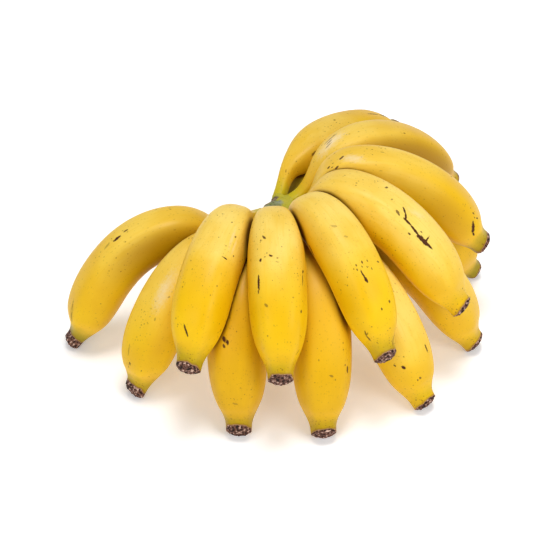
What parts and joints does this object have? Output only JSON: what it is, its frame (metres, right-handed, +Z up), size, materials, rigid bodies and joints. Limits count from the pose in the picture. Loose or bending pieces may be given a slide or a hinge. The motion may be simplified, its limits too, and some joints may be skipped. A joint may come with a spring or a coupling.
{
  "type": "hand of apple bananas",
  "caption": "Hand of short, thick ripe apple bananas on one small crown, spread like an umbrella and resting on its finger tips.",
  "frame": {"origin": "middle of the hand's footprint, on the surface it rests on", "axes": "+Z up from that surface, +X to the right and -Y towards the viewer, with the hand's open side at the back left"},
  "size_m": [0.2524, 0.2292, 0.1174],
  "materials": {
    "peel": "ripe yellow banana peel, satin and slightly waxy, with fine brown freckles",
    "crown": "dull grey-green stalk, dry where it is cut"
  },
  "bodies": {
    "root": {"crown": "crown", "upper_finger_1": "peel", "upper_finger_2": "peel", "upper_finger_3": "peel", "upper_finger_4": "peel", "upper_finger_5": "peel", "upper_finger_6": "peel", "upper_finger_7": "peel", "upper_finger_8": "peel", "lower_finger_1": "peel", "lower_finger_2": "peel", "lower_finger_3": "peel", "lower_finger_4": "peel", "lower_finger_5": "peel", "lower_finger_6": "peel", "lower_finger_7": "peel"}
  },
  "joints": []
}
